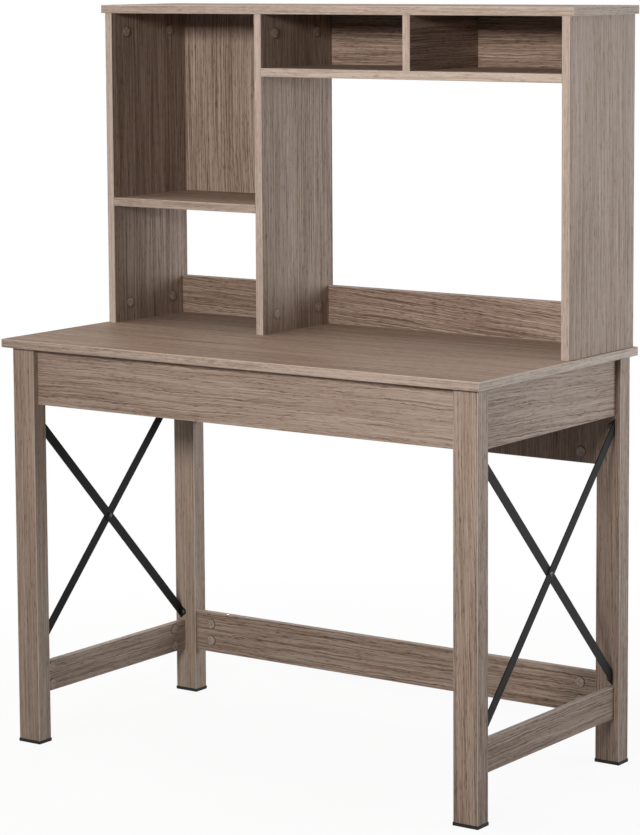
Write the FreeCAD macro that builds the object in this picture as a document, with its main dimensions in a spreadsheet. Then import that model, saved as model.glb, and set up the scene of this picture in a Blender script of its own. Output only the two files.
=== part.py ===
"""Student desk with a hutch, as flat-pack boards, steel braces and their fittings.

The frame has +Z up, +X to the user's right and -Y towards the user. The origin lies on the
floor under the middle of the desktop. All lengths are in millimetres.
"""
import FreeCAD, Part
import os
import re
import Sketcher

SIZES = {
    # Board stock
    "board_thickness": 15,
    "stretcher_thickness": 12,
    "back_thickness": 3,
    "edge_break": 0.8,
    # Desk
    "desk_width": 1000,
    "desk_depth": 514,
    "desk_height": 732,
    "leg_width": 47,
    "leg_depth": 32,
    "leg_side_inset": 12.5,
    "leg_front_inset": 16.5,
    "leg_rear_inset": 6,
    "foot_base": 2,
    "foot_rim": 3.5,
    "foot_wall": 1,
    "apron_height": 102,
    "rear_apron_height": 191,
    "front_apron_recess": 13,
    "side_rail_recess": 10,
    "rear_rail_recess": 5,
    "stretcher_clearance": 82,
    "side_stretcher_height": 56,
    "rear_stretcher_height": 77,
    # Hutch
    "hutch_inset": 8,
    "hutch_depth": 219,
    "hutch_side_height": 570,
    "hutch_top_side_lip": 8,
    "hutch_top_front_lip": 1.5,
    "divider_offset": 145.5,
    "shelf_rise": 232,
    "cubby_height": 95,
    "rear_rail_height": 70,
    "back_margin": 2,
    # Braces
    "strap_width": 17.5,
    "strap_thickness": 2,
    "strap_tab": 12,
    "strap_nose": 6.5,
    "strap_bend": 1.8,
    "strap_foot_gap": 16,
    "strap_head_gap": 18,
    "screw_diameter": 4,
    "screw_length": 14,
    "screw_head_diameter": 7.5,
    "screw_head_height": 2.2,
    "pivot_diameter": 5,
    "pivot_head_diameter": 9,
    "pivot_head_height": 2.5,
    "pivot_tail": 1,
    "nut_corners": 9,
    "nut_height": 3.5,
    # Fittings
    "fit_clearance": 0.1,
    "cam_diameter": 15,
    "cam_floor": 2.5,
    "cam_setback": 34,
    "cam_bolt_diameter": 6,
    "cam_bolt_bite": 11,
    "cap_diameter": 20,
    "cap_thickness": 1,
    "panel_bolt_margin": 43,
    "panel_bolt_pitch": 128,
    "rail_bolt_pitch": 32,
    "rear_apron_bolt_margin": 20,
    "apron_bolt_margin": 120,
    "dowel_diameter": 8,
    "dowel_length": 30,
    "dowel_bite": 10,
    "rail_dowel_stagger": 12,
}

# Levels and faces that several pieces share, as formulas of the sizes
PLACES = {
    "half_width": "desk_width / 2",
    "front_edge": "0 - desk_depth / 2",
    "rear_edge": "desk_depth / 2",
    "desk_underside": "desk_height - board_thickness",
    "leg_outer": "half_width - leg_side_inset",
    "leg_inner": "leg_outer - leg_width",
    "front_leg_front": "front_edge + leg_front_inset",
    "front_leg_back": "front_leg_front + leg_depth",
    "rear_leg_back": "rear_edge - leg_rear_inset",
    "rear_leg_front": "rear_leg_back - leg_depth",
    "leg_span": "rear_leg_front - front_leg_back",
    "apron_underside": "desk_underside - apron_height",
    "side_rail_outer": "leg_outer - side_rail_recess",
    "side_stretcher_top": "stretcher_clearance + side_stretcher_height",
    "hutch_outer": "half_width - hutch_inset",
    "hutch_inner": "hutch_outer - board_thickness",
    "hutch_rear": "rear_edge - back_thickness",
    "hutch_front": "hutch_rear - hutch_depth",
    "hutch_ceiling": "desk_height + hutch_side_height",
    "divider_left": "0 - divider_offset - board_thickness / 2",
    "divider_right": "divider_left + board_thickness",
    "shelf_underside": "desk_height + shelf_rise - board_thickness",
    "cubby_floor": "hutch_ceiling - cubby_height",
    "cubby_divider_left": "(divider_right + hutch_inner - board_thickness) / 2",
    "front_panel_bolt": "hutch_front + panel_bolt_margin",
    "rear_panel_bolt": "front_panel_bolt + panel_bolt_pitch",
    "strap_low": "side_stretcher_top + strap_foot_gap",
    "strap_high": "apron_underside - strap_head_gap",
    "strap_climb": "strap_high - strap_low",
    "strap_rise": "strap_width * sqrt(leg_span ^ 2 + strap_climb ^ 2) / leg_span",
    "pivot_y": "(front_leg_back + rear_leg_front) / 2",
    "pivot_z": "(strap_low + strap_high) / 2",
}

AXES = ("x", "y", "z")
PLANES = {"x": "YZ_Plane", "y": "XZ_Plane", "z": "XY_Plane"}
ACROSS = {"x": "yz", "y": "xz", "z": "xy"}
UNITS = {"x": FreeCAD.Vector(1, 0, 0), "y": FreeCAD.Vector(0, 1, 0), "z": FreeCAD.Vector(0, 0, 1)}
LEFT, RIGHT = "left", "right"
UP, DOWN = ("z", 1), ("z", -1)
TO_RIGHT, TO_LEFT = ("x", 1), ("x", -1)
TO_REAR, TO_FRONT = ("y", 1), ("y", -1)
# The round fittings and their bores are faceted, because there are so many of them
WIDE_SIDE_COUNT = 12
NARROW_SIDE_COUNT = 8
HEX_SIDE_COUNT = 6

doc = FreeCAD.newDocument("StudentDesk")
sheet = doc.addObject("Spreadsheet::Sheet", "sizes")
for row, (alias, value) in enumerate(SIZES.items(), start=1):
    sheet.set(f"A{row}", alias)
    sheet.set(f"B{row}", str(value))
    sheet.setAlias(f"B{row}", alias)
doc.recompute()


def spelled(text):
    """A formula of sizes and places, written out as an expression on the sheet."""
    def swap(match):
        name = match.group(0)
        if name in PLACES:
            return f"({spelled(PLACES[name])})"
        return f"sizes.{name}" if name in SIZES else name
    return re.sub(r"[a-z]+(?:_[a-z]+)*", swap, text)


def bind(thing, prop, text):
    """Ties a property to a formula."""
    thing.setExpression(prop, spelled(text))


def signed(side, text):
    """A distance from the middle of the desk, taken to the left or to the right."""
    return f"0 - ({text})" if side == LEFT else text


def place(thing, corner):
    """Ties a piece's origin to three formulas."""
    for axis, text in zip(AXES, corner):
        bind(thing, f"Placement.Base.{axis}", text)


def new_body(label, corner):
    """An empty body at its corner."""
    body = doc.addObject("PartDesign::Body", label)
    body.Label = label
    place(body, corner)
    return body


def new_sketch(body, axis, level="0"):
    """A sketch square to an axis of the body, at a level along it."""
    sketch = body.newObject("Sketcher::SketchObject", f"{body.Name}_sketch")
    plane = next(item for item in body.Origin.OriginFeatures if item.Role == PLANES[axis])
    sketch.AttachmentSupport = [(plane, "")]
    sketch.MapMode = "FlatFace"
    # The sketch on the XZ plane looks along -Y
    bind(sketch, "AttachmentOffset.Base.z", f"0 - ({level})" if axis == "y" else level)
    return sketch


def dimension(sketch, kind, ends, text):
    """A sketch dimension tied to a formula, which takes the place of the unit it starts from."""
    unit = 1.0
    index = sketch.addConstraint(Sketcher.Constraint(kind, *ends, unit))
    bind(sketch, f"Constraints[{index}]", text)


def draw_polygon(sketch, points):
    """A closed outline whose four corners are pairs of formulas."""
    count = len(points)
    unit_square = [(0, 0), (1, 0), (1, 1), (0, 1)]
    for index in range(count):
        start = FreeCAD.Vector(*unit_square[index], 0)
        end = FreeCAD.Vector(*unit_square[(index + 1) % count], 0)
        sketch.addGeometry(Part.LineSegment(start, end), False)
    for index, (across, up) in enumerate(points):
        sketch.addConstraint(Sketcher.Constraint("Coincident", index, 2, (index + 1) % count, 1))
        dimension(sketch, "DistanceX", (-1, 1, index, 1), across)
        dimension(sketch, "DistanceY", (-1, 1, index, 1), up)


def draw_rectangle(sketch, width, height, left="0", low="0"):
    """A rectangle with its sides along the sketch."""
    right = f"{left} + {width}"
    high = f"{low} + {height}"
    draw_polygon(sketch, [(left, low), (right, low), (right, high), (left, high)])


def turn_to(way):
    """The turn that lays a Z axis along a signed axis."""
    axis, towards = way
    return FreeCAD.Rotation(UNITS["z"], UNITS[axis] * towards)


def pad(body, sketch, axis, length):
    """Thickens a sketch towards the positive side of its axis."""
    feature = body.newObject("PartDesign::Pad", f"{body.Name}_pad")
    feature.Profile = sketch
    feature.Reversed = axis == "y"
    bind(feature, "Length", length)


def pocket(body, sketch, axis, towards, depth):
    """Cuts a sketch into the body, towards +1 or -1 along its axis."""
    doc.recompute()
    before = body.Tip.Shape.Volume
    feature = body.newObject("PartDesign::Pocket", f"{body.Name}_pocket")
    feature.Profile = sketch
    feature.Reversed = (towards > 0) != (axis == "y")
    bind(feature, "Length", depth)
    doc.recompute()
    if feature.Shape.Volume >= before:
        raise RuntimeError(f"{body.Label}: a pocket cuts nothing")


def add_round(body, kind, spot, way, side_count, diameter, length):
    """Adds or takes away a faceted round that starts at a spot and runs along a signed axis."""
    feature = body.newObject(f"PartDesign::{kind}Prism", f"{body.Name}_round")
    feature.Polygon = side_count
    bind(feature, "Circumradius", f"({diameter}) / 2")
    bind(feature, "Height", length)
    feature.Placement = FreeCAD.Placement(FreeCAD.Vector(), turn_to(way))
    place(feature, spot)
    return feature


def bore(body, spot, way, side_count, diameter, depth):
    """Bores a body from a spot on its face, and makes sure that the bore met the solid."""
    doc.recompute()
    before = body.Tip.Shape.Volume
    feature = add_round(body, "Subtractive", spot, way, side_count, f"{diameter} + fit_clearance", depth)
    doc.recompute()
    if feature.Shape.Volume >= before:
        raise RuntimeError(f"{body.Label}: a bore cuts nothing")


def break_edges(body, axes):
    """Breaks every straight edge that runs along one of the axes."""
    doc.recompute()
    base = body.Tip
    names = []
    for index, edge in enumerate(base.Shape.Edges, start=1):
        run = edge.Vertexes[-1].Point - edge.Vertexes[0].Point
        run.normalize()
        if any(abs(run[AXES.index(axis)]) > 1 - Part.Precision.confusion() for axis in axes):
            names.append(f"Edge{index}")
    feature = body.newObject("PartDesign::Chamfer", f"{body.Name}_chamfer")
    feature.Base = (base, names)
    bind(feature, "Size", "edge_break")
    doc.recompute()


class Board:
    """A rectangular board, known by its lowest corner."""

    def __init__(self, label, corner, size, flat, broken):
        self.corner = corner
        self.body = new_body(label, corner)
        sketch = new_sketch(self.body, flat)
        draw_rectangle(sketch, *[size[AXES.index(axis)] for axis in ACROSS[flat]])
        pad(self.body, sketch, flat, size[AXES.index(flat)])
        if broken:
            break_edges(self.body, broken)

    def drill(self, spot, way, side_count, diameter, depth):
        """Bores the board from a place in the desk's frame."""
        local = [f"({text}) - ({corner})" for text, corner in zip(spot, self.corner)]
        bore(self.body, local, way, side_count, diameter, depth)


boards = {}


def add_board(label, corner, size, flat, broken):
    """Makes a board and keeps it by name."""
    boards[label] = Board(label, corner, size, flat, broken)


# Desktop
add_board("desktop", ("0 - half_width", "front_edge", "desk_underside"),
          ("desk_width", "desk_depth", "board_thickness"), "z", "xyz")

# Legs, each standing in a moulded foot cap
leg_rows = {"front": "front_leg_front", "rear": "rear_leg_front"}
leg_columns = {LEFT: "0 - leg_outer", RIGHT: "leg_inner"}
feet = []
for row, leg_y in leg_rows.items():
    for side, leg_x in leg_columns.items():
        add_board(f"leg_{row}_{side}", (leg_x, leg_y, "foot_base"),
                  ("leg_width", "leg_depth", "desk_underside - foot_base"), "z", "z")
        foot = new_body(f"foot_cap_{row}_{side}", (f"{leg_x} - foot_wall", f"{leg_y} - foot_wall", "0"))
        outline = new_sketch(foot, "z")
        draw_rectangle(outline, "leg_width + 2 * foot_wall", "leg_depth + 2 * foot_wall")
        pad(foot, outline, "z", "foot_base + foot_rim")
        break_edges(foot, "z")
        hollow = new_sketch(foot, "z", "foot_base")
        draw_rectangle(hollow, "leg_width", "leg_depth", "foot_wall", "foot_wall")
        pocket(foot, hollow, "z", 1, "foot_rim")
        feet.append(foot)

# Aprons under the desktop
add_board("front_apron", ("0 - leg_inner", "front_leg_front + front_apron_recess", "apron_underside"),
          ("2 * leg_inner", "board_thickness", "apron_height"), "y", "x")
add_board("rear_apron", ("0 - leg_inner", "rear_leg_front + rear_rail_recess",
                         "desk_underside - rear_apron_height"),
          ("2 * leg_inner", "board_thickness", "rear_apron_height"), "y", "x")

# Stretchers near the floor
add_board("rear_stretcher", ("0 - leg_inner", "rear_leg_front + rear_rail_recess", "stretcher_clearance"),
          ("2 * leg_inner", "stretcher_thickness", "rear_stretcher_height"), "y", "x")

# Rails at the two ends of the desk
for side in (LEFT, RIGHT):
    apron_x = "0 - side_rail_outer" if side == LEFT else "side_rail_outer - board_thickness"
    add_board(f"{side}_apron", (apron_x, "front_leg_back", "apron_underside"),
              ("board_thickness", "leg_span", "apron_height"), "x", "y")
    stretcher_x = "0 - side_rail_outer" if side == LEFT else "side_rail_outer - stretcher_thickness"
    add_board(f"{side}_stretcher", (stretcher_x, "front_leg_back", "stretcher_clearance"),
              ("stretcher_thickness", "leg_span", "side_stretcher_height"), "x", "y")

# Uprights of the hutch
upright_size = ("board_thickness", "hutch_depth", "hutch_side_height")
uprights = {"hutch_left_side": "0 - hutch_outer", "hutch_divider": "divider_left",
            "hutch_right_side": "hutch_inner"}
for label, upright_x in uprights.items():
    add_board(label, (upright_x, "hutch_front", "desk_height"), upright_size, "x", "z")

# Top and shelves of the hutch
add_board("hutch_top", ("0 - hutch_outer - hutch_top_side_lip", "hutch_front - hutch_top_front_lip",
                        "hutch_ceiling"),
          ("2 * (hutch_outer + hutch_top_side_lip)", "hutch_depth + hutch_top_front_lip",
           "board_thickness"), "z", "xyz")
left_bay_width = "divider_left + hutch_inner"
right_bay_width = "hutch_inner - divider_right"
add_board("left_shelf", ("0 - hutch_inner", "hutch_front", "shelf_underside"),
          (left_bay_width, "hutch_depth", "board_thickness"), "z", "x")
add_board("cubby_shelf", ("divider_right", "hutch_front", "cubby_floor - board_thickness"),
          (right_bay_width, "hutch_depth", "board_thickness"), "z", "x")
add_board("cubby_divider", ("cubby_divider_left", "hutch_front", "cubby_floor"),
          ("board_thickness", "hutch_depth", "cubby_height"), "x", "z")

# Rails across the back of the hutch, on the desktop
rail_y = "hutch_rear - board_thickness"
add_board("left_rail", ("0 - hutch_inner", rail_y, "desk_height"),
          (left_bay_width, "board_thickness", "rear_rail_height"), "y", "x")
add_board("right_rail", ("divider_right", rail_y, "desk_height"),
          (right_bay_width, "board_thickness", "rear_rail_height"), "y", "x")

# Thin back panels, nailed to the rear edges
back_seam = "divider_left + board_thickness / 2"
back_high = "hutch_ceiling + board_thickness - back_margin"
add_board("left_back_panel", ("back_margin - hutch_outer", "hutch_rear", "shelf_underside + back_margin"),
          (f"{back_seam} - back_margin + hutch_outer", "back_thickness",
           f"{back_high} - shelf_underside - back_margin"), "y", "")
cubby_back_low = "cubby_floor - board_thickness + back_margin"
add_board("cubby_back_panel", (back_seam, "hutch_rear", cubby_back_low),
          (f"hutch_outer - back_margin - ({back_seam})", "back_thickness",
           f"{back_high} - ({cubby_back_low})"), "y", "")

# Fittings: each is one of a group of like pieces, copied from a first one
groups = {"cam_locks": [], "slim_cam_locks": [], "cam_bolts": [], "cam_caps": [], "dowels": [],
          "brace_screws": [], "brace_bolts": [], "brace_nuts": []}
ORIGIN = ("0", "0", "0")
firsts = {name: new_body(f"first_{name}", ORIGIN) for name in groups}


def add_length(group, level, side_count, diameter, length):
    """Adds a round length to the first piece of a group, standing along its own Z."""
    add_round(firsts[group], "Additive", ("0", "0", level), UP, side_count, diameter, length)


cam_height = "board_thickness - cam_floor"
slim_cam_height = "stretcher_thickness - cam_floor"
add_length("cam_locks", "0", WIDE_SIDE_COUNT, "cam_diameter", cam_height)
add_length("slim_cam_locks", "0", WIDE_SIDE_COUNT, "cam_diameter", slim_cam_height)
cam_bolt_reach = "cam_setback - cam_diameter / 2"
add_length("cam_bolts", "0 - cam_bolt_bite", NARROW_SIDE_COUNT, "cam_bolt_diameter",
           f"cam_bolt_bite + {cam_bolt_reach}")
add_length("cam_caps", "0", WIDE_SIDE_COUNT, "cap_diameter", "cap_thickness")
add_length("dowels", "0 - dowel_bite", NARROW_SIDE_COUNT, "dowel_diameter", "dowel_length")
add_length("brace_screws", "0", NARROW_SIDE_COUNT, "screw_diameter", "screw_length")
add_length("brace_screws", "0 - screw_head_height", WIDE_SIDE_COUNT, "screw_head_diameter",
           "screw_head_height")
pivot_length = "2 * strap_thickness + nut_height + pivot_tail"
add_length("brace_bolts", "0", NARROW_SIDE_COUNT, "pivot_diameter", pivot_length)
add_length("brace_bolts", "0 - pivot_head_height", WIDE_SIDE_COUNT, "pivot_head_diameter",
           "pivot_head_height")
add_length("brace_nuts", "0", HEX_SIDE_COUNT, "nut_corners", "nut_height")
bore(firsts["brace_nuts"], ORIGIN, UP, NARROW_SIDE_COUNT, "pivot_diameter", "nut_height")


def add_fitting(group, spot, way):
    """Sets a copy of a group's first piece at a spot, with its Z along a signed axis."""
    link = doc.addObject("App::Link", f"{group}_{len(groups[group])}")
    link.LinkedObject = firsts[group]
    link.LinkTransform = False
    link.Placement = FreeCAD.Placement(FreeCAD.Vector(), turn_to(way))
    place(link, spot)
    groups[group].append(link)


def back(way):
    """The same axis, the other way."""
    axis, towards = way
    return axis, -towards


def shifted(spot, way, distance):
    """A spot moved along a signed axis."""
    axis, towards = way
    moved = list(spot)
    index = AXES.index(axis)
    moved[index] = f"{moved[index]} {'+' if towards > 0 else '-'} ({distance})"
    return moved


def add_dowel(mate, board, spot, way):
    """A dowel from the face of its mate into the edge of a board, with both bores."""
    boards[mate].drill(spot, back(way), NARROW_SIDE_COUNT, "dowel_diameter", "dowel_bite")
    boards[board].drill(spot, way, NARROW_SIDE_COUNT, "dowel_diameter", "dowel_length - dowel_bite")
    add_fitting("dowels", spot, way)


def add_cam(mate, board, spot, run, face, slim=False):
    """A cam joint: a bolt out of the mate along run, and a cam sunk in a face of the board, under a cap."""
    boards[mate].drill(spot, back(run), NARROW_SIDE_COUNT, "cam_bolt_diameter", "cam_bolt_bite")
    boards[board].drill(spot, run, NARROW_SIDE_COUNT, "cam_bolt_diameter", cam_bolt_reach)
    thickness = "stretcher_thickness" if slim else "board_thickness"
    height = slim_cam_height if slim else cam_height
    mouth = shifted(shifted(spot, run, "cam_setback"), face, f"{thickness} / 2")
    boards[board].drill(mouth, back(face), WIDE_SIDE_COUNT, "cam_diameter", height)
    add_fitting("slim_cam_locks" if slim else "cam_locks", mouth, back(face))
    add_fitting("cam_bolts", spot, run)
    add_fitting("cam_caps", mouth, face)


# Uprights held to the desktop and to the hutch top, with their cams on the inner faces
upright_faces = {"hutch_left_side": TO_RIGHT, "hutch_divider": TO_RIGHT, "hutch_right_side": TO_LEFT}
for label, face in upright_faces.items():
    middle = f"{uprights[label]} + board_thickness / 2"
    for bolt_y in ("front_panel_bolt", "rear_panel_bolt"):
        add_cam("desktop", label, (middle, bolt_y, "desk_height"), UP, face)
        add_cam("hutch_top", label, (middle, bolt_y, "hutch_ceiling"), DOWN, face)

# Shelves, rails and the small divider set on dowels
for bolt_y in ("front_panel_bolt", "rear_panel_bolt"):
    shelf_z = "shelf_underside + board_thickness / 2"
    add_dowel("hutch_left_side", "left_shelf", ("0 - hutch_inner", bolt_y, shelf_z), TO_RIGHT)
    add_dowel("hutch_divider", "left_shelf", ("divider_left", bolt_y, shelf_z), TO_LEFT)
    cubby_z = "cubby_floor - board_thickness / 2"
    add_dowel("hutch_divider", "cubby_shelf", ("divider_right", bolt_y, cubby_z), TO_RIGHT)
    add_dowel("hutch_right_side", "cubby_shelf", ("hutch_inner", bolt_y, cubby_z), TO_LEFT)
    cubby_x = "cubby_divider_left + board_thickness / 2"
    add_dowel("hutch_top", "cubby_divider", (cubby_x, bolt_y, "hutch_ceiling"), DOWN)
    add_dowel("cubby_shelf", "cubby_divider", (cubby_x, bolt_y, "cubby_floor"), UP)
rail_middle = f"{rail_y} + board_thickness / 2"
left_rail_z = "desk_height + rear_rail_height / 2 - rail_dowel_stagger"
right_rail_z = "desk_height + rear_rail_height / 2 + rail_dowel_stagger"
add_dowel("hutch_left_side", "left_rail", ("0 - hutch_inner", rail_middle, left_rail_z), TO_RIGHT)
add_dowel("hutch_divider", "left_rail", ("divider_left", rail_middle, left_rail_z), TO_LEFT)
add_dowel("hutch_divider", "right_rail", ("divider_right", rail_middle, right_rail_z), TO_RIGHT)
add_dowel("hutch_right_side", "right_rail", ("hutch_inner", rail_middle, right_rail_z), TO_LEFT)

# Legs set in the desktop on dowels
for row, leg_y in leg_rows.items():
    for side, leg_x in leg_columns.items():
        leg_middle = (f"{leg_x} + leg_width / 2", f"{leg_y} + leg_depth / 2", "desk_underside")
        add_dowel("desktop", f"leg_{row}_{side}", leg_middle, DOWN)

# Front and rear boards held to the legs, and the aprons to the desktop
front_apron_y = "front_leg_front + front_apron_recess + board_thickness / 2"
rear_apron_y = "rear_leg_front + rear_rail_recess + board_thickness / 2"
rear_stretcher_y = "rear_leg_front + rear_rail_recess + stretcher_thickness / 2"
apron_z = "desk_underside - apron_height / 2"
rear_apron_levels = ("desk_underside - rear_apron_height + rear_apron_bolt_margin",
                     "desk_underside - rear_apron_bolt_margin")
rear_stretcher_levels = [f"stretcher_clearance + rear_stretcher_height / 2 {step} rail_bolt_pitch / 2"
                         for step in "+-"]
side_stretcher_levels = [f"stretcher_clearance + side_stretcher_height / 2 {step} rail_bolt_pitch / 2"
                         for step in "+-"]
for side, inward in ((LEFT, TO_RIGHT), (RIGHT, TO_LEFT)):
    leg_face = signed(side, "leg_inner")
    add_cam(f"leg_front_{side}", "front_apron", (leg_face, front_apron_y, apron_z), inward, TO_REAR)
    for level in rear_apron_levels:
        add_cam(f"leg_rear_{side}", "rear_apron", (leg_face, rear_apron_y, level), inward, TO_FRONT)
    for level in rear_stretcher_levels:
        add_cam(f"leg_rear_{side}", "rear_stretcher", (leg_face, rear_stretcher_y, level), inward, TO_FRONT,
                slim=True)
    apron_bolt_x = signed(side, "leg_inner - apron_bolt_margin")
    add_cam("desktop", "front_apron", (apron_bolt_x, front_apron_y, "desk_underside"), DOWN, TO_REAR)
    add_cam("desktop", "rear_apron", (apron_bolt_x, rear_apron_y, "desk_underside"), DOWN, TO_FRONT)

# Side boards held between the front and rear legs, with their cams on the inner faces
for side, inward in ((LEFT, TO_RIGHT), (RIGHT, TO_LEFT)):
    side_apron_x = signed(side, "side_rail_outer - board_thickness / 2")
    side_stretcher_x = signed(side, "side_rail_outer - stretcher_thickness / 2")
    for row, face_y, run in (("front", "front_leg_back", TO_REAR), ("rear", "rear_leg_front", TO_FRONT)):
        leg = f"leg_{row}_{side}"
        add_cam(leg, f"{side}_apron", (side_apron_x, face_y, apron_z), run, inward)
        for level in side_stretcher_levels:
            add_cam(leg, f"{side}_stretcher", (side_stretcher_x, face_y, level), run, inward, slim=True)

# Steel straps of the X braces: the outer strap climbs to the rear, the inner one to the front
straps = []


def round_bends(body, side):
    """Rounds the two upright edges on the outer face, where the tabs are bent."""
    doc.recompute()
    base = body.Tip
    box = base.Shape.BoundBox
    outer = box.XMin if side == LEFT else box.XMax
    names = []
    for index, edge in enumerate(base.Shape.Edges, start=1):
        middle = edge.BoundBox.Center
        upright = edge.BoundBox.XLength + edge.BoundBox.YLength < Part.Precision.confusion()
        at_end = min(abs(middle.y - box.YMin), abs(middle.y - box.YMax)) < Part.Precision.confusion()
        if upright and at_end and abs(middle.x - outer) < Part.Precision.confusion():
            names.append(f"Edge{index}")
    bend = body.newObject("PartDesign::Fillet", f"{body.Name}_bend")
    bend.Base = (base, names)
    bind(bend, "Radius", "strap_bend")
    doc.recompute()


def add_strap(side, layer, climbs_to_rear):
    """A flat strap between two legs, with its ends bent inwards to tapered tabs that lie on the legs."""
    outer = f"side_rail_outer - {layer} * strap_thickness"
    corner_x = f"0 - ({outer})" if side == LEFT else f"{outer} - strap_tab"
    head = "rear" if climbs_to_rear else "front"
    body = new_body(f"{side}_strap_to_{head}", (corner_x, "front_leg_back", "strap_low - strap_rise / 2"))
    web_level = "0" if side == LEFT else "strap_tab - strap_thickness"
    front_low = "0" if climbs_to_rear else "strap_climb"
    rear_low = "strap_climb" if climbs_to_rear else "0"
    web = new_sketch(body, "x", web_level)
    draw_polygon(web, [("0", front_low), ("leg_span", rear_low), ("leg_span", f"{rear_low} + strap_rise"),
                       ("0", f"{front_low} + strap_rise")])
    pad(body, web, "x", "strap_thickness")
    for level, low in (("0", front_low), ("leg_span - strap_thickness", rear_low)):
        bend = (low, f"{low} + strap_rise")
        nose = [f"{low} + (strap_rise {step} strap_nose) / 2" for step in "-+"]
        left, right = (bend, nose) if side == LEFT else (nose, bend)
        tab = new_sketch(body, "y", level)
        draw_polygon(tab, [("0", left[0]), ("strap_tab", right[0]), ("strap_tab", right[1]), ("0", left[1])])
        pad(body, tab, "y", "strap_thickness")
    tab_middle = "(strap_tab + strap_thickness) / 2" if side == LEFT else "(strap_tab - strap_thickness) / 2"
    round_bends(body, side)
    for level, low, way in (("0", front_low, TO_REAR), ("leg_span", rear_low, TO_FRONT)):
        bore(body, (tab_middle, level, f"{low} + strap_rise / 2"), way, NARROW_SIDE_COUNT,
             "screw_diameter", "strap_thickness")
    bore(body, (web_level, "leg_span / 2", "(strap_climb + strap_rise) / 2"), TO_RIGHT, NARROW_SIDE_COUNT,
         "pivot_diameter", "strap_thickness")
    straps.append(body)
    screw_x = f"{corner_x} + {tab_middle}"
    for row, face_y, low, into_leg in (("front", "front_leg_back", front_low, TO_FRONT),
                                       ("rear", "rear_leg_front", rear_low, TO_REAR)):
        on_leg = (screw_x, face_y, f"strap_low + {low}")
        boards[f"leg_{row}_{side}"].drill(on_leg, into_leg, NARROW_SIDE_COUNT, "screw_diameter",
                                          "screw_length - strap_thickness")
        add_fitting("brace_screws", shifted(on_leg, back(into_leg), "strap_thickness"), into_leg)


for side, inward in ((LEFT, TO_RIGHT), (RIGHT, TO_LEFT)):
    add_strap(side, 0, climbs_to_rear=True)
    add_strap(side, 1, climbs_to_rear=False)
    pivot = (signed(side, "side_rail_outer"), "pivot_y", "pivot_z")
    add_fitting("brace_bolts", pivot, inward)
    add_fitting("brace_nuts", shifted(pivot, inward, "2 * strap_thickness"), inward)

compounds = []
for label, links in groups.items():
    compound = doc.addObject("Part::Compound", label)
    compound.Label = label
    compound.Links = links
    compounds.append(compound)
doc.recompute()

# Every object is sound before anything is written
for thing in doc.Objects:
    if {"Invalid", "Error"} & set(thing.State):
        raise RuntimeError(f"{thing.Label}: {thing.State}")
sub_parts = [board.body for board in boards.values()] + feet + straps + compounds
for thing in sub_parts:
    if thing.Shape.isNull() or not thing.Shape.isValid():
        raise RuntimeError(f"{thing.Label}: no sound shape")

os.makedirs("parts", exist_ok=True)
for thing in sub_parts:
    thing.Shape.exportStep(f"parts/{thing.Label}.step")
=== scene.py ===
"""Student desk with a hutch: laminate boards, black steel cross braces, cover caps and small fittings."""
import bmesh
import bpy
import math
from mathutils import Matrix, Vector


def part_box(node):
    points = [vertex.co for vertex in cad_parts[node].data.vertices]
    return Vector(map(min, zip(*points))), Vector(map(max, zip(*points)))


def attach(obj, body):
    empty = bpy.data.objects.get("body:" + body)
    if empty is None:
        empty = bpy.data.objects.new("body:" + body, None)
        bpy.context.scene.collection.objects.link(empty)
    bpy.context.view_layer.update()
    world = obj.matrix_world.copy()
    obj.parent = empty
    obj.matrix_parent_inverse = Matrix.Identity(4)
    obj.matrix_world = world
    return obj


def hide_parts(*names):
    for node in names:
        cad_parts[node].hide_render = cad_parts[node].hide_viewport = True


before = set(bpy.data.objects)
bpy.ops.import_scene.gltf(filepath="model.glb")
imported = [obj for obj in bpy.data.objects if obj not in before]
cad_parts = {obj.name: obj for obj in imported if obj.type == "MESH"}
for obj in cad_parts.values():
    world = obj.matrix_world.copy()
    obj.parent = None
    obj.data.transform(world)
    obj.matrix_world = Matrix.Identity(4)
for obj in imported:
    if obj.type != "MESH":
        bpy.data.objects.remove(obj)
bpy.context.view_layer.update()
scene = bpy.context.scene


# Legs
# Four square-edged posts of particle board under a printed oak laminate, in grey brown.
# Each stands in a foot cap, is doweled into the desktop and takes the cam bolts of its rails.
class Shade:
    """A socket in a node tree; sums and products of sockets add Math nodes."""

    def __init__(self, tree, socket=None):
        self.tree = tree
        self.socket = socket

    def node(self, kind, settings=None, inputs=None, output=0):
        """Adds a node, sets it up, feeds its sockets and gives back one of its outputs."""
        added = self.tree.nodes.new(kind)
        for name, value in (settings or {}).items():
            if name == "stops":
                fill_ramp(added.color_ramp, value)
            else:
                setattr(added, name, value)
        for name, value in (inputs or {}).items():
            if isinstance(value, (Shade, list)):
                for source in value if isinstance(value, list) else [value]:
                    self.tree.links.new(source.socket, added.inputs[name])
            else:
                added.inputs[name].default_value = value
        return Shade(self.tree, added.outputs[output])

    def math(self, operation, *values):
        """Adds a Math node that works on sockets and numbers."""
        return self.node("ShaderNodeMath", {"operation": operation}, dict(enumerate(values)))

    def __add__(self, other):
        return self.math("ADD", self, other)

    def __radd__(self, other):
        return self.math("ADD", other, self)

    def __sub__(self, other):
        return self.math("SUBTRACT", self, other)

    def __rsub__(self, other):
        return self.math("SUBTRACT", other, self)

    def __mul__(self, other):
        return self.math("MULTIPLY", self, other)

    def __rmul__(self, other):
        return self.math("MULTIPLY", other, self)

    def __truediv__(self, other):
        return self.math("DIVIDE", self, other)

    def __pow__(self, other):
        return self.math("POWER", self, other)

    def __abs__(self):
        return self.math("ABSOLUTE", self)


def fill_ramp(ramp, stops):
    """Sets a colour ramp to a list of places and colours."""
    while len(ramp.elements) < len(stops):
        ramp.elements.new(1)
    for element, (place, colour) in zip(ramp.elements, stops):
        element.position = place
        element.color = colour


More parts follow.
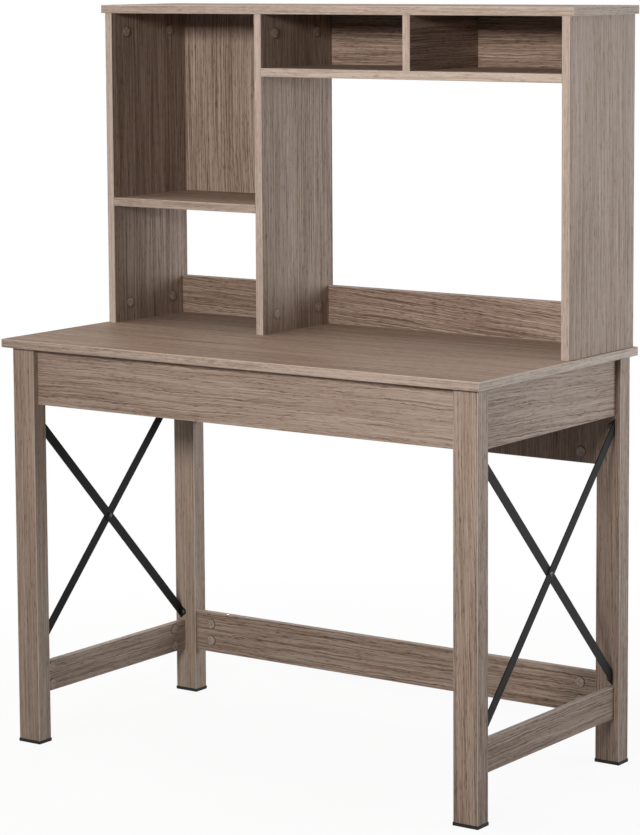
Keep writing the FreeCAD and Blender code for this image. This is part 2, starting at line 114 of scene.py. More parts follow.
def srgb(red, green, blue):
    """A colour written as on a screen, from 0 to 255, as Blender's linear colour."""
    def linear(level):
        share = level / 255
        return share / 12.92 if share <= 0.04045 else ((share + 0.055) / 1.055) ** 2.4
    return (linear(red), linear(green), linear(blue), 1)


def new_material(name):
    """An empty material, with its tree and its surface shader."""
    material = bpy.data.materials.new(name)
    material.use_nodes = True
    return material, Shade(material.node_tree), material.node_tree.nodes["Principled BSDF"]


def feed(shade, shader, **sockets):
    """Links or sets the shader's sockets, named with underscores for spaces."""
    for name, value in sockets.items():
        socket = shader.inputs[name.replace("_", " ")]
        if isinstance(value, Shade):
            shade.tree.links.new(value.socket, socket)
        else:
            socket.default_value = value


def split(shade, vector):
    """The three parts of a vector, by axis letter."""
    separate = shade.tree.nodes.new("ShaderNodeSeparateXYZ")
    shade.tree.links.new(vector.socket, separate.inputs[0])
    return {axis: Shade(shade.tree, separate.outputs[index]) for index, axis in enumerate("xyz")}


def largest(shade, first, *others):
    """The largest of several values."""
    for other in others:
        first = shade.math("MAXIMUM", first, other)
    return first


def smooth_step(shade, value, low, high):
    """A mask that rises from 0 at low to 1 at high."""
    return shade.node("ShaderNodeMapRange", {"interpolation_type": "SMOOTHSTEP"},
                      {"Value": value, "From Min": low, "From Max": high})


def mixed(shade, factor, first, second):
    """Two colours mixed by a factor. A Mix node's colours are its inputs 6 and 7 and its output 2."""
    return shade.node("ShaderNodeMix", {"data_type": "RGBA"}, {0: factor, 6: first, 7: second}, output=2)


def emboss(shade, height, strength, depth):
    """A bump that follows a height."""
    return shade.node("ShaderNodeBump", inputs={"Strength": strength, "Distance": depth, "Height": height})


def dress(node, material):
    """Gives a CAD piece its finish."""
    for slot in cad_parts[node].material_slots:
        slot.material = material


OAK_STREAK = srgb(92, 74, 62)
OAK_BROWN = srgb(131, 110, 96)
OAK_GREY = srgb(156, 136, 122)
OAK_PALE = srgb(180, 162, 149)
OAK_STOPS = [(0.12, OAK_STREAK), (0.4, OAK_BROWN), (0.6, OAK_GREY), (0.9, OAK_PALE)]
# The edge tape's colours; on the stretchers' upper faces the tape is partly painted light.
TAPE_BROWN = srgb(170, 152, 140)
# The tape's pale colour, also painted on chamfers as wear and as a painted highlight.
TAPE_PALE_AND_HIGHLIGHT = srgb(202, 186, 174)
TAPE_STOPS = [(0.25, TAPE_BROWN), (0.7, TAPE_PALE_AND_HIGHLIGHT)]
PAPER_BROWN = srgb(142, 122, 102)
PAPER_PALE = srgb(158, 138, 116)
MEAN_TONE = 0.57
# How far chamfers are painted pale: partly wear, partly a painted highlight.
WEAR_AND_HIGHLIGHT_SHARE = 0.8
OAK_EMBOSS_DEPTH = 0.00025

# Patterns of the print: steps to a metre along the grain, steps across it, and levels of detail.
SWAY = (2.6, 9, 2)
BENDS = (26, 55, 2)
QUIVER = (110, 180, 1)
BANDS = (1.1, 40, 2)
VEINS = (1.2, 130, 2)
STREAKS = (4, 460, 2)
FIBRES = (9, 860, 2)
PORES = (60, 560, 1)
PATTERN_ROUGHNESS = 0.6

# The part of a face's normal that lies along its nearest axis: at most so much on a chamfer, which is
# painted paler as wear and as a painted highlight, and at least so much on a face square to the axis or
# a plain flat.
CHAMFER_FACING = 0.75
SQUARE_FACING = 0.8
FLAT_FACING = 0.95


def lay_oak(node, grain, across, shift, pith=None, lean=0.0, wave=0.005, lift=0.0, painted_falloff=0.0,
            figure=1.0, veins=0.0, gloss=0.15, tape_and_painted_light=None, backed=False):
    """Lays printed oak on a board: streaks along the grain, which bow into arches near the pith.

    On faces square to the grain the edge tape runs along the across axis. Shift picks a stretch of the
    print. Pith is the arches' middle, how far the cut lies from the pith, and how steeply it nears it
    along the grain. Lean is the slope of the lines to the board, and wave is how far they wander
    sideways. Lift makes a print paler all over; on many boards it is set for the light the board gets,
    painted light where it is raised and painted shade where it is lowered. The painted falloff makes the
    print paler along the grain as painted light, and darker where it is negative, as painted shade.
    Figure makes its lines stronger, and veins adds long lines. The tape share gives, for each axis whose
    faces are edge tape, the share of the tape's own paler colour; on the stretchers' upper faces it is
    partly painted light. A backed panel has bare paper on its rear face.
    """
    material, shade, shader = new_material(f"oak_{node}")
    place = split(shade, shade.node("ShaderNodeTexCoord", output="Object"))
    facing = split(shade, shade.node("ShaderNodeNewGeometry", output="Normal"))
    through = next(axis for axis in "xyz" if axis not in (grain, across))

    def square_on(axis):
        """A mask that is 1 on faces square to an axis, and 0 elsewhere."""
        return shade.math("GREATER_THAN", abs(facing[axis]), SQUARE_FACING)

    swap = square_on(grain) * (place[across] - place[grain])
    along = place[grain] + swap + shift
    side = place[across] - swap
    depth = place[through] + shift

    def noise(pattern, sideways):
        """A noise about zero, drawn out along the grain."""
        steps_along, steps_across, detail = pattern
        steps = (along * steps_along, sideways * steps_across, depth * steps_across)
        vector = shade.node("ShaderNodeCombineXYZ", inputs=dict(enumerate(steps)))
        inputs = {"Vector": vector, "Scale": 1, "Detail": detail, "Roughness": PATTERN_ROUGHNESS}
        return shade.node("ShaderNodeTexNoise", inputs=inputs) - 0.5

    rings = side + lean * along
    if pith:
        middle, distance, slope = pith
        rings = shade.math("SQRT", (side - middle) ** 2 + (distance + slope * place[grain]) ** 2)
    rings = rings + noise(SWAY, side) * (2 * wave)
    rings = rings + noise(BENDS, side) * wave
    rings = rings + noise(QUIVER, side) * (0.25 * wave)
    streaks = noise(STREAKS, rings)
    fibres = noise(FIBRES, rings)
    pores = smooth_step(shade, noise(PORES, rings), low=0.04, high=0.2)
    lines = 0.35 * noise(BANDS, rings) + 1.2 * streaks + 1.1 * fibres - 0.24 * pores
    if veins:
        lines = lines + veins * noise(VEINS, rings)
    # Lift is partly painted light and shade, set for the light a board gets.
    tone = lines * figure + (MEAN_TONE + lift)
    # A painted fall-off of the light: a positive falloff paints the print paler along the grain, a
    # negative one paints shade.
    if painted_falloff:
        tone = tone + painted_falloff * place[grain]
    wood = shade.node("ShaderNodeValToRGB", {"stops": OAK_STOPS}, {0: tone})
    # Edge tape; on the stretchers' upper faces its paler colour is partly painted light.
    if tape_and_painted_light:
        tape = shade.node("ShaderNodeValToRGB", {"stops": TAPE_STOPS}, {0: tone})
        for axis, tape_and_light_share in tape_and_painted_light.items():
            wood = mixed(shade, square_on(axis) * tape_and_light_share, wood, tape)
    if backed:
        paper = mixed(shade, 0.5 + fibres, PAPER_BROWN, PAPER_PALE)
        wood = mixed(shade, shade.math("GREATER_THAN", facing["y"], SQUARE_FACING), wood, paper)
    # Chamfers are painted paler, partly as wear and partly as a painted highlight along the arrises.
    flatness = largest(shade, *(abs(part) for part in facing.values()))
    wear_and_highlight = (1 - smooth_step(shade, flatness, low=CHAMFER_FACING, high=FLAT_FACING)) * WEAR_AND_HIGHLIGHT_SHARE
    wood = mixed(shade, wear_and_highlight, wood, TAPE_PALE_AND_HIGHLIGHT)
    bump = emboss(shade, streaks * 0.5 + fibres * 0.8 - pores, strength=0.3, depth=OAK_EMBOSS_DEPTH)
    feed(shade, shader, Base_Color=wood, Roughness=0.52 + 0.25 * fibres + 0.1 * pores, Normal=bump,
         Specular_IOR_Level=gloss)
    dress(node, material)


# The legs' lifts are painted light and shade for the light each one gets, and the right legs' painted
# falloffs make them paler towards their tops.
lay_oak("leg_front_left", grain="z", across="x", shift=1.3, wave=0.003, lift=0.08, figure=0.8)
lay_oak("leg_front_right", grain="z", across="x", shift=4.1, lean=0.02, wave=0.004, lift=-0.04, painted_falloff=0.24)
lay_oak("leg_rear_left", grain="z", across="x", shift=7.7, wave=0.003, lift=0.16, figure=0.8)
lay_oak("leg_rear_right", grain="z", across="x", shift=9.2, lean=0.02, wave=0.004, painted_falloff=0.08, figure=0.9)


# Foot caps
# Shallow trays moulded in black plastic, pushed over the foot of each leg.
# They are matt, with a fine moulded grain and a faint clouding.
FINE_DEPTH = 0.0002


def speckle(shade, scale, detail):
    """An even noise all over a piece."""
    place = shade.node("ShaderNodeTexCoord", output="Object")
    return shade.node("ShaderNodeTexNoise", inputs={"Vector": place, "Scale": scale, "Detail": detail})


def black_plastic(name):
    """Moulded black plastic with a fine eroded grain."""
    material, shade, shader = new_material(name)
    cloud = speckle(shade, scale=60, detail=3)
    colour = mixed(shade, cloud, srgb(14, 14, 14), srgb(26, 26, 26))
    bump = emboss(shade, speckle(shade, scale=1400, detail=2), strength=0.25, depth=FINE_DEPTH)
    feed(shade, shader, Base_Color=colour, Roughness=0.5 + 0.2 * cloud, Normal=bump,
         Specular_IOR_Level=0.25)
    return material


foot_plastic = black_plastic("black_plastic_foot")
for row in ("front", "rear"):
    for side in ("left", "right"):
        dress(f"foot_cap_{row}_{side}", foot_plastic)


# Side rails
# Aprons under the desktop and stretchers near the floor, set between the front and rear legs.
# They are the same laminate with the grain along their length, held by cam locks at both ends.
# Their lifts are partly painted light and shade, set for the light each rail gets.
lay_oak("left_apron", grain="y", across="z", shift=2.6)
lay_oak("right_apron", grain="y", across="z", shift=5.3, lean=0.04, wave=0.006, lift=0.03)
# The stretchers' taped upper faces are partly edge tape and partly painted light.
lay_oak("left_stretcher", grain="y", across="z", shift=3.4, lift=0.09, tape_and_painted_light={"z": 0.6})
lay_oak("right_stretcher", grain="y", across="z", shift=8.9, lift=-0.03, tape_and_painted_light={"z": 1})


# Long rails
# The front apron, the tall rear apron, cut with its grain upright, and the rear stretcher, with a
# paler tape on its upper edge that is partly painted light, join the two ends of the desk.
# Their lifts are partly painted light and shade. The front apron's painted falloff makes it paler towards
# its right, and the rear stretcher's paints shade towards its right end.
lay_oak("front_apron", grain="x", across="z", shift=0.4, wave=0.006, lift=0.1, painted_falloff=0.1)
lay_oak("rear_apron", grain="z", across="x", shift=6.2, wave=0.003, lift=0.05)
lay_oak("rear_stretcher", grain="x", across="z", shift=4.8, lift=0.02, painted_falloff=-0.12, figure=1.2,
        tape_and_painted_light={"z": 1})


# Cross braces
# Flat steel straps with bent ends, powder coated in satin black, crossed in pairs at each end.
# Each end is screwed to a leg, and a bolt and nut hold each pair where it crosses.
def black_steel(name):
    """Satin powder coat with a light orange peel."""
    material, shade, shader = new_material(name)
    cloud = speckle(shade, scale=25, detail=4)
    colour = mixed(shade, cloud, srgb(24, 23, 22), srgb(36, 35, 34))
    peel = emboss(shade, speckle(shade, scale=700, detail=1), strength=0.2, depth=FINE_DEPTH)
    feed(shade, shader, Base_Color=colour, Roughness=0.4 + 0.14 * cloud, Normal=peel,
         Specular_IOR_Level=0.1)
    return material


strap_steel = black_steel("black_steel_strap")
for side in ("left", "right"):
    for upper_end in ("rear", "front"):
        dress(f"{side}_strap_to_{upper_end}", strap_steel)


# Desktop
# One laminate board across all four legs, with the grain from left to right.
# Its edges are taped with a slightly paler band, and its chamfered corners are painted paler, partly as
# wear and partly as a painted highlight.
lay_oak("desktop", grain="x", across="y", shift=2.1, wave=0.004, veins=0.6, gloss=0.06,
        tape_and_painted_light={"x": 0.7, "y": 0.5})


# Hutch uprights
# The two sides and the divider stand on the desktop and carry the top, held by cam locks at both ends.
# Their grain is upright and their front edges are taped with a pale band.
lay_oak("hutch_left_side", grain="z", across="y", shift=3.9, wave=0.003, figure=1.05, tape_and_painted_light={"y": 1})
# The divider and the right side are lowered as painted shade, and their painted falloffs make them paler
# towards their tops, as painted light.
lay_oak("hutch_divider", grain="z", across="y", shift=6.6, wave=0.003, lift=-0.1, painted_falloff=0.1,
        tape_and_painted_light={"y": 0.85})
lay_oak("hutch_right_side", grain="z", across="y", shift=1.7, wave=0.003, lift=-0.07, painted_falloff=0.12,
        figure=0.85, tape_and_painted_light={"y": 0.6})


# Hutch shelves and top
# The top lies over the uprights, the left shelf and the cubby shelf are doweled between them,
# and a small divider parts the cubbies. All have pale front edges.
lay_oak("hutch_top", grain="x", across="y", shift=5.8, wave=0.004, tape_and_painted_light={"x": 0.4, "y": 0.6})
lay_oak("left_shelf", grain="x", across="y", shift=7.4, wave=0.004, veins=0.3, tape_and_painted_light={"y": 0.5})
lay_oak("cubby_shelf", grain="x", across="y", shift=8.3, wave=0.004, veins=0.3, tape_and_painted_light={"y": 0.8})
# The small divider is lowered as painted shade, for the shade in the cubbies.
lay_oak("cubby_divider", grain="y", across="z", shift=0.9, wave=0.004, lift=-0.08, tape_and_painted_light={"y": 0.8})


# Hutch rails and back panels
# Low rails stand on the desktop at the rear, and thin panels close the tall bay and the cubbies.
# Rails and cubby panel have the grain across, the tall panel upright with an arched figure.
# The rails are lowered as painted shade, and the right rail's painted falloff makes it paler towards its
# right end.
lay_oak("left_rail", grain="x", across="z", shift=2.9, lean=0.04, lift=-0.05, tape_and_painted_light={"z": 0.5})
lay_oak("right_rail", grain="x", across="z", shift=5.1, lean=0.07, lift=-0.09, painted_falloff=0.4, figure=1.2,
        tape_and_painted_light={"z": 0.6})
lay_oak("left_back_panel", grain="z", across="x", shift=0.7, pith=(-0.26, -0.17, 0.15), wave=0.003,
        figure=1.1, backed=True)
# The cubby back panel is lowered as painted shade, for the shadow of the top in the cubbies.
lay_oak("cubby_back_panel", grain="x", across="z", shift=4.4, lift=-0.14, backed=True)


# Cam locks and cam bolts
# Zinc-plated drums sunk in the boards, each of which grips a bolt that stands in the next board.
# They hold the boards together and lie hidden inside them.
def plated_steel(name, dull, bright, roughness):
    """Plated metal, a little clouded."""
    material, shade, shader = new_material(name)
    cloud = speckle(shade, scale=180, detail=3)
    feed(shade, shader, Base_Color=mixed(shade, cloud, dull, bright), Roughness=roughness + 0.2 * cloud,
         Metallic=1)
    return material


zinc = plated_steel("zinc_steel", dull=srgb(150, 150, 148), bright=srgb(196, 196, 192), roughness=0.26)
for node in ("cam_locks", "slim_cam_locks", "cam_bolts"):
    dress(node, zinc)


# Cover caps
# Thin plastic discs, moulded in the laminate's colour, are pressed over each cam lock.
# They stand a little proud of the board, with a soft rim and a slight crown, and a painted shadow darkens
# the edge of the rim.
MERGE_DISTANCE = 1e-6


def solids_of(node):
    """The middle and the size of each solid of a CAD node."""
    mesh = bmesh.new()
    mesh.from_mesh(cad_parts[node].data)
    bmesh.ops.remove_doubles(mesh, verts=mesh.verts, dist=MERGE_DISTANCE)
    found = []
    remaining = set(mesh.verts)
    while remaining:
        island = {remaining.pop()}
        newest = set(island)
        while newest:
            reached = {edge.other_vert(vert) for vert in newest for edge in vert.link_edges}
            newest = reached - island
            island |= reached
        remaining -= island
        corners = [vert.co for vert in island]
        low = Vector([min(corner[axis] for corner in corners) for axis in range(3)])
        high = Vector([max(corner[axis] for corner in corners) for axis in range(3)])
        found.append(((low + high) / 2, high - low))
    mesh.free()
    return sorted(found, key=lambda solid: tuple(solid[0]))


def fitting_tree(name, sizes):
    """A node tree with named sizes: its shade, its points and its size sockets."""
    tree = bpy.data.node_groups.new(name, "GeometryNodeTree")
    tree.interface.new_socket("Points", in_out="INPUT", socket_type="NodeSocketGeometry")
    for label in sizes:
        tree.interface.new_socket(label, in_out="INPUT", socket_type="NodeSocketFloat")
    tree.interface.new_socket("Fittings", in_out="OUTPUT", socket_type="NodeSocketGeometry")
    sockets = tree.nodes.new("NodeGroupInput").outputs
    named = {label: Shade(tree, sockets[label]) for label in sizes}
    return Shade(tree), Shade(tree, sockets["Points"]), named


TURNED_STEPS = 4
RIM_POWER = 4


def turned_disc(shade, radius, height, rim, crown, side_count=32):
    """A disc on its base, with a drawn-in rim and a crown, that notes how far each point lies out."""
    sizes = {"Vertices": side_count, "Side Segments": TURNED_STEPS, "Fill Segments": TURNED_STEPS,
             "Radius": radius, "Depth": height}
    blank = shade.node("GeometryNodeMeshCylinder", {"fill_type": "TRIANGLE_FAN"}, sizes)
    at = split(shade, shade.node("GeometryNodeInputPosition"))
    rise = at["z"] / height + 0.5
    reach = shade.math("SQRT", at["x"] ** 2 + at["y"] ** 2) / radius
    marked = shade.node("GeometryNodeStoreNamedAttribute", {"data_type": "FLOAT", "domain": "POINT"},
                        {"Geometry": blank, "Name": "reach", "Value": reach})
    draw_in = 1 - rim / radius * rise ** RIM_POWER
    lift = rise * height + crown * rise * (1 - reach ** 2)
    spot = {0: at["x"] * draw_in, 1: at["y"] * draw_in, 2: lift}
    place = shade.node("ShaderNodeCombineXYZ", inputs=spot)
    return shade.node("GeometryNodeSetPosition", inputs={"Geometry": marked, "Position": place})


def plant(shade, points, fitting, material):
    """Sets a fitting on every point, along the point's facing, as one plain mesh."""
    facing = shade.node("GeometryNodeInputNamedAttribute", {"data_type": "FLOAT_VECTOR"},
                        {"Name": "facing"})
    turn = shade.node("FunctionNodeAlignRotationToVector", {"axis": "Z"}, {"Vector": facing})
    copies = shade.node("GeometryNodeInstanceOnPoints",
                        inputs={"Points": points, "Instance": fitting, "Rotation": turn})
    solid = shade.node("GeometryNodeRealizeInstances", inputs={"Geometry": copies})
    done = shade.node("GeometryNodeSetMaterial", inputs={"Geometry": solid, "Material": material})
    shade.tree.links.new(done.socket, shade.tree.nodes.new("NodeGroupOutput").inputs[0])


def make_fittings(name, spots, shade, sizes, slot, *nodes):
    """Runs a tree on spots, each a place and a facing, and lets the result stand for CAD nodes."""
    carrier = bpy.data.meshes.new(name)
    carrier.from_pydata([place for place, facing in spots], [], [])
    directions = carrier.attributes.new("facing", "FLOAT_VECTOR", "POINT")
    for index, (place, facing) in enumerate(spots):
        directions.data[index].vector = facing
    holder = bpy.data.objects.new(f"{name}_holder", carrier)
    scene.collection.objects.link(holder)
    modifier = holder.modifiers.new(name, "NODES")
    modifier.node_group = shade.tree
    for item in shade.tree.interface.items_tree:
        if item.in_out == "INPUT" and item.name in sizes:
            modifier[item.identifier] = sizes[item.name]
    graph = bpy.context.evaluated_depsgraph_get()
    mesh = bpy.data.meshes.new_from_object(holder.evaluated_get(graph))
    bpy.data.objects.remove(holder)
    piece = bpy.data.objects.new(name, mesh)
    scene.collection.objects.link(piece)
    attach(piece, "root")
    if nodes:
        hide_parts(*nodes)


def cap_plastic(name):
    """Moulded plastic in the colour of the laminate, mottled, with a painted shadow as a dark line around
    its rim.
    """
    material, shade, shader = new_material(name)
    mottle = smooth_step(shade, speckle(shade, scale=260, detail=2), low=0.3, high=0.7)
    colour = mixed(shade, mottle, srgb(144, 127, 113), srgb(182, 165, 150))
    reach = shade.node("ShaderNodeAttribute", {"attribute_name": "reach"}, output="Fac")
    # Painted shadow: the outer rim is painted dark, as the shade around a cap that stands proud of its
    # board.
    colour = mixed(shade, smooth_step(shade, reach, low=0.94, high=0.99), colour, srgb(98, 84, 74))
    scuffs = speckle(shade, scale=300, detail=4)
    bump = emboss(shade, scuffs, strength=0.2, depth=FINE_DEPTH)
    feed(shade, shader, Base_Color=colour, Roughness=0.42 + 0.2 * scuffs, Normal=bump,
         Specular_IOR_Level=0.3)
    return material


lock_middles = [middle for middle, size in solids_of("cam_locks") + solids_of("slim_cam_locks")]
cap_spots = []
for middle, size in solids_of("cam_caps"):
    lock = min(lock_middles, key=lambda other: (other - middle).length)
    outward = (middle - lock).normalized()
    thickness = min(size)
    cap_spots.append((middle - outward * thickness / 2, outward))
cap_sizes = {"Radius": 0.01, "Height": 0.0016, "Rim": 0.0009, "Crown": 0.0003}
cap_shade, cap_points, cap = fitting_tree("cover_cap", cap_sizes)
cap_disc = turned_disc(cap_shade, cap["Radius"], cap["Height"], cap["Rim"], cap["Crown"])
plant(cap_shade, cap_points, cap_disc, cap_plastic("cap_plastic"))
make_fittings("cover_caps", cap_spots, cap_shade, cap_sizes, "cover_cap", "cam_caps")


# Brace screws
# Black zinc pan-head screws with a cross recess, one through each bent end of a strap into the leg.
# The head is turned with a low crown, and the recess is punched into it.
ROUND_SIDES = 20


def lifted(shade, mesh, height):
    """A mesh moved up by a height."""
    move = shade.node("ShaderNodeCombineXYZ", inputs={2: height})
    return shade.node("GeometryNodeTransform", inputs={"Geometry": mesh, "Translation": move})


def bar(shade, side_count, radius, length):
    """A straight bar about its own middle."""
    sizes = {"Vertices": side_count, "Radius": radius, "Depth": length}
    return shade.node("GeometryNodeMeshCylinder", inputs=sizes)


def shank(shade, radius, length, side_count=ROUND_SIDES):
    """A round shank that hangs down from its head."""
    return lifted(shade, bar(shade, side_count, radius, length), length * -0.5)


def recess(shade, length, width, top):
    """One arm of a cross recess, half as deep as its head is high."""
    block = shade.node("ShaderNodeCombineXYZ", inputs={0: length, 1: width, 2: top})
    return lifted(shade, shade.node("GeometryNodeMeshCube", inputs={"Size": block}), top)


def crowned_head(shade, sizes, rim_share, crown_share):
    """A turned head, of whose radius the rim takes a share and of whose height the crown takes one."""
    radius = sizes["Head radius"]
    height = sizes["Head height"]
    return turned_disc(shade, radius, height * (1 - crown_share), radius * rim_share, height * crown_share)


def cut_out(shade, blank, tool):
    """A blank with a tool's shape cut out of it."""
    meshes = {"Mesh 1": blank, "Mesh 2": tool}
    return shade.node("GeometryNodeMeshBoolean", {"operation": "DIFFERENCE"}, meshes)


def joined(shade, *meshes):
    """Several meshes as one."""
    return shade.node("GeometryNodeJoinGeometry", inputs={"Geometry": list(meshes)})


screw_sizes = {"Head radius": 0.00375, "Head height": 0.0022, "Shank radius": 0.002,
               "Shank length": 0.014, "Slot length": 0.0042, "Slot width": 0.0009}
screw_spots = []
for middle, size in solids_of("brace_screws"):
    outward = Vector((0, -math.copysign(1, middle.y), 0))
    screw_spots.append((middle + outward * (size.y / 2 - screw_sizes["Head height"]), outward))
screw_shade, screw_points, screw = fitting_tree("brace_screw", screw_sizes)
screw_head = crowned_head(screw_shade, screw, rim_share=0.2, crown_share=0.2)
arms = [recess(screw_shade, screw["Slot length"], screw["Slot width"], screw["Head height"]),
        recess(screw_shade, screw["Slot width"], screw["Slot length"], screw["Head height"])]
cross = screw_shade.node("GeometryNodeMeshBoolean", {"operation": "UNION"}, {"Mesh 2": arms})
screw_shank = shank(screw_shade, screw["Shank radius"], screw["Shank length"])
screw_whole = joined(screw_shade, cut_out(screw_shade, screw_head, cross), screw_shank)
black_zinc = plated_steel("black_zinc", dull=srgb(70, 69, 68), bright=srgb(96, 95, 94), roughness=0.38)
plant(screw_shade, screw_points, screw_whole, black_zinc)
make_fittings("brace_cross_screws", screw_spots, screw_shade, screw_sizes, "black_steel", "brace_screws")


# Brace bolts and nuts
# A button-head bolt with a hexagon socket, plated in black zinc, goes through each crossing from
# outside. A hexagon nut with the same plating holds it on the inner side.
HEXAGON_SIDES = 6
NUT_RIM_SHARE = 0.1
NUT_CROWN_SHARE = 0.02
BORE_TOOL_HEIGHTS = 3
bolt_sizes = {"Head radius": 0.0045, "Head height": 0.0025, "Shank radius": 0.0025,
              "Shank length": 0.0085, "Socket radius": 0.0016}
bolt_spots = []
for middle, size in solids_of("brace_bolts"):
    outward = Vector((math.copysign(1, middle.x), 0, 0))
    bolt_spots.append((middle + outward * (size.x / 2 - bolt_sizes["Head height"]), outward))
bolt_shade, bolt_points, bolt = fitting_tree("brace_bolt", bolt_sizes)
bolt_head = crowned_head(bolt_shade, bolt, rim_share=0.25, crown_share=0.3)
socket = bar(bolt_shade, HEXAGON_SIDES, bolt["Socket radius"], bolt["Head height"])
socket = lifted(bolt_shade, socket, bolt["Head height"])
bolt_shank = shank(bolt_shade, bolt["Shank radius"], bolt["Shank length"])
bolt_whole = joined(bolt_shade, cut_out(bolt_shade, bolt_head, socket), bolt_shank)
plant(bolt_shade, bolt_points, bolt_whole, black_zinc)
make_fittings("brace_button_bolts", bolt_spots, bolt_shade, bolt_sizes, "black_steel", "brace_bolts")

nut_sizes = {"Corner radius": 0.0045, "Height": 0.0035, "Bore radius": 0.0026}
nut_spots = []
for middle, size in solids_of("brace_nuts"):
    inward = Vector((-math.copysign(1, middle.x), 0, 0))
    nut_spots.append((middle - inward * size.x / 2, inward))
nut_shade, nut_points, nut = fitting_tree("brace_nut", nut_sizes)
nut_block = turned_disc(nut_shade, nut["Corner radius"], nut["Height"], nut["Height"] * NUT_RIM_SHARE,
                        nut["Height"] * NUT_CROWN_SHARE, side_count=HEXAGON_SIDES)
nut_bore = bar(nut_shade, ROUND_SIDES, nut["Bore radius"], nut["Height"] * BORE_TOOL_HEIGHTS)
plant(nut_shade, nut_points, cut_out(nut_shade, nut_block, nut_bore), black_zinc)
make_fittings("brace_hex_nuts", nut_spots, nut_shade, nut_sizes, "black_steel", "brace_nuts")


# Panel nails
# Small flat-head nails of plated wire, driven through the thin back panels into the boards' rear edges.
# They stand at an even pitch, a little way in from the panels' edges.
NAIL_INSET = 0.006
NAIL_PITCH = 0.11
NAIL_RIM_SHARE = 0.1
NAIL_CROWN_SHARE = 0.2
ACROSS = 0
UP = 2
REARWARD = Vector((0, 1, 0))
nail_sizes = {"Head radius": 0.0023, "Head height": 0.0003, "Shank radius": 0.0007, "Shank length": 0.014}
nail_spots = []
for node in ("left_back_panel", "cubby_back_panel"):
    low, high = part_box(node)
    spans = {axis: [low[axis] + NAIL_INSET, high[axis] - NAIL_INSET] for axis in (ACROSS, UP)}
    # The rows across hold the corner nails, so the upright rows leave out one nail at each end.
    for run, other, left_out in ((ACROSS, UP, 0), (UP, ACROSS, 1)):
        first, last = spans[run]
        gaps = round((last - first) / NAIL_PITCH)
        for edge in spans[other]:
            for step in range(left_out, gaps + 1 - left_out):
                spot = Vector((0, high.y, 0))
                spot[run] = first + (last - first) * step / gaps
                spot[other] = edge
                nail_spots.append((spot, REARWARD))
nail_shade, nail_points, nail = fitting_tree("panel_nail", nail_sizes)
nail_head = turned_disc(nail_shade, nail["Head radius"], nail["Head height"],
                        nail["Head radius"] * NAIL_RIM_SHARE, nail["Head height"] * NAIL_CROWN_SHARE,
                        side_count=12)
nail_shank = shank(nail_shade, nail["Shank radius"], nail["Shank length"], side_count=6)
plant(nail_shade, nail_points, joined(nail_shade, nail_head, nail_shank), zinc)
make_fittings("panel_nails", nail_spots, nail_shade, nail_sizes, "zinc_steel")


# Dowels
# Plain pins of bare beech, hidden where the shelves, the hutch rails, the small divider and the legs
# are set. They are pushed into bores in both boards.
def beech(name):
    """Bare pale beech with small flecks."""
    material, shade, shader = new_material(name)
    flecks = speckle(shade, scale=500, detail=3)
    colour = mixed(shade, flecks, srgb(196, 160, 118), srgb(222, 190, 150))
    bump = emboss(shade, flecks, strength=0.3, depth=FINE_DEPTH)
    feed(shade, shader, Base_Color=colour, Roughness=0.55 + 0.2 * flecks, Normal=bump)
    return material


dress("dowels", beech("beech_dowel"))


# Floor
# A plain pale studio floor, not part of the desk. Seen by the camera or in gloss, it is lifted
# towards white and keeps a soft shadow, and as a bounce it is a light grey.
FLOOR_SIZE = 60
FLOOR_GREY = srgb(165, 165, 165)
WHITE = (1, 1, 1, 1)
NEAR_WHITE_SHARE = 0.92
NEAR_REACH = 0.5
FAR_REACH = 1.8


def seen_rays(shade):
    """A mask that is 1 for rays from the camera, in gloss or through glass, and 0 for the rest."""
    rays = shade.tree.nodes.new("ShaderNodeLightPath").outputs
    kinds = ("Is Camera Ray", "Is Glossy Ray", "Is Transmission Ray")
    return largest(shade, *(Shade(shade.tree, rays[kind]) for kind in kinds))


bpy.ops.mesh.primitive_plane_add(size=FLOOR_SIZE)
floor = bpy.context.object
floor.name = "floor"
floor_material, floor_shade, floor_shader = new_material("floor_white")
seen = seen_rays(floor_shade)
feed(floor_shade, floor_shader, Base_Color=mixed(floor_shade, seen, FLOOR_GREY, WHITE), Roughness=0.9)
spot = split(floor_shade, floor_shade.node("ShaderNodeTexCoord", output="Object"))
reach = floor_shade.math("SQRT", spot["x"] ** 2 + spot["y"] ** 2)
away = smooth_step(floor_shade, reach, low=NEAR_REACH, high=FAR_REACH)
lift = seen * (NEAR_WHITE_SHARE + (1 - NEAR_WHITE_SHARE) * away)
shaded = Shade(floor_shade.tree, floor_shader.outputs[0])
glow = floor_shade.node("ShaderNodeEmission", inputs={"Color": WHITE, "Strength": 1})
surface = floor_shade.node("ShaderNodeMixShader", inputs={0: lift, 1: shaded, 2: glow})
floor_shade.tree.links.new(surface.socket, floor_shade.tree.nodes["Material Output"].inputs["Surface"])
floor.data.materials.append(floor_material)


# Light
# Soft studio boxes: one at the front with the closest grid, a low cool one at the right rear that
# shines in through the open back, a large warm one above, and at the left rear a low fill without gloss.
def soft_box(name, place, target, width, height, spread, power, colour):
    """A soft box that faces a target, with a grid that narrows its light to a spread in degrees."""
    lamp = bpy.data.lights.new(name, "AREA")
    lamp.shape = "RECTANGLE"
    lamp.size = width
    lamp.size_y = height
    lamp.spread = math.radians(spread)
    lamp.energy = power
    lamp.color = colour
    box = bpy.data.objects.new(name, lamp)
    box.location = place
    box.rotation_euler = (Vector(target) - Vector(place)).to_track_quat("-Z", "Y").to_euler()
    scene.collection.objects.link(box)
    return box


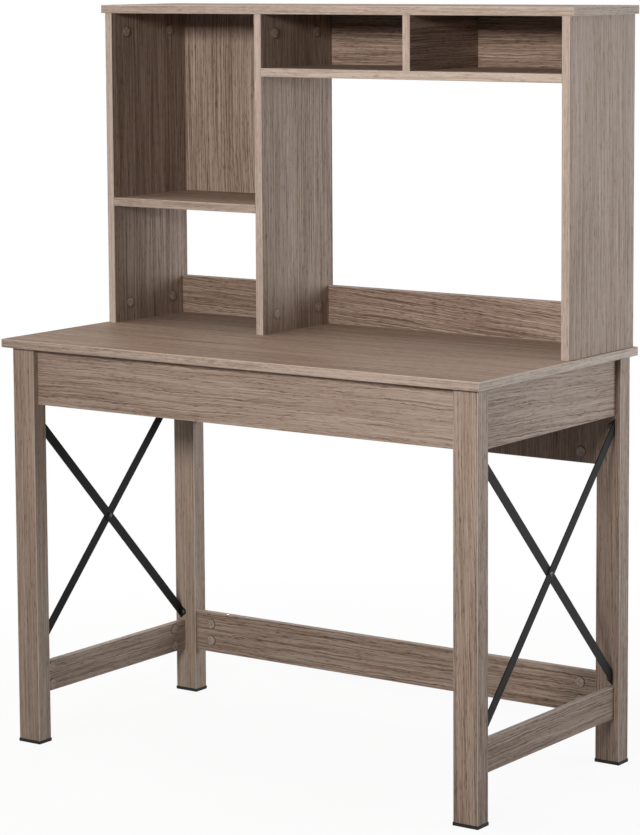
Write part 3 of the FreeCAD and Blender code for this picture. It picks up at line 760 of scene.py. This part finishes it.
soft_box("front_box", place=(0.8, -5, 2.27), target=(0.5, 0, 1.3), width=1.6, height=0.7,
         spread=56, power=23.5, colour=(1, 0.97, 0.94))
soft_box("right_box", place=(2.62, 1.31, 1), target=(0.2, 0, 0.9), width=1.6, height=0.8,
         spread=75, power=10, colour=(0.84, 0.93, 1))
soft_box("top_box", place=(-0.9, -0.4, 4.2), target=(0, 0, 0.7), width=2.2, height=2.2,
         spread=180, power=60, colour=(1, 0.9, 0.8))
fill_box = soft_box("fill_box", place=(-2.6, 2.6, 0.55), target=(-0.3, 0.2, 0.7), width=1.2, height=0.3,
                    spread=80, power=14, colour=(1, 0.96, 0.92))
fill_box.visible_camera = False
fill_box.visible_glossy = False

AMBIENT = 0.12
world = bpy.data.worlds.new("studio")
scene.world = world
world.use_nodes = True
sky_strength = AMBIENT + seen_rays(Shade(world.node_tree)) * (1 - AMBIENT)
backdrop = world.node_tree.nodes["Background"]
backdrop.inputs["Color"].default_value = WHITE
world.node_tree.links.new(sky_strength.socket, backdrop.inputs["Strength"])

scene.view_settings.view_transform = "Standard"


# Camera
# It stands in front of the desk and to its right, a little higher than the hutch, with a long lens.
# The shift moves the frame down from the lens axis, so that the uprights stay nearly parallel.
IMAGE_HEIGHT_PX = 835
FOCAL_PX = 2918.8
PRINCIPAL_Y_PX = 300
CAMERA_PLACE = (2.9313, -4.1211, 1.3918)
AZIMUTH = math.radians(35.314)
ELEVATION = math.radians(6.596)
ROLL = math.radians(-0.352)
camera_data = bpy.data.cameras.new("camera")
camera_data.sensor_fit = "AUTO"
camera_data.lens = FOCAL_PX / IMAGE_HEIGHT_PX * camera_data.sensor_width
camera_data.shift_y = (PRINCIPAL_Y_PX - IMAGE_HEIGHT_PX / 2) / IMAGE_HEIGHT_PX
camera_data.clip_end = 2 * FLOOR_SIZE
camera = bpy.data.objects.new("camera", camera_data)
camera.matrix_world = (Matrix.Translation(CAMERA_PLACE) @ Matrix.Rotation(AZIMUTH, 4, "Z")
                       @ Matrix.Rotation(math.pi / 2 - ELEVATION, 4, "X") @ Matrix.Rotation(ROLL, 4, "Z"))
scene.collection.objects.link(camera)
scene.camera = camera
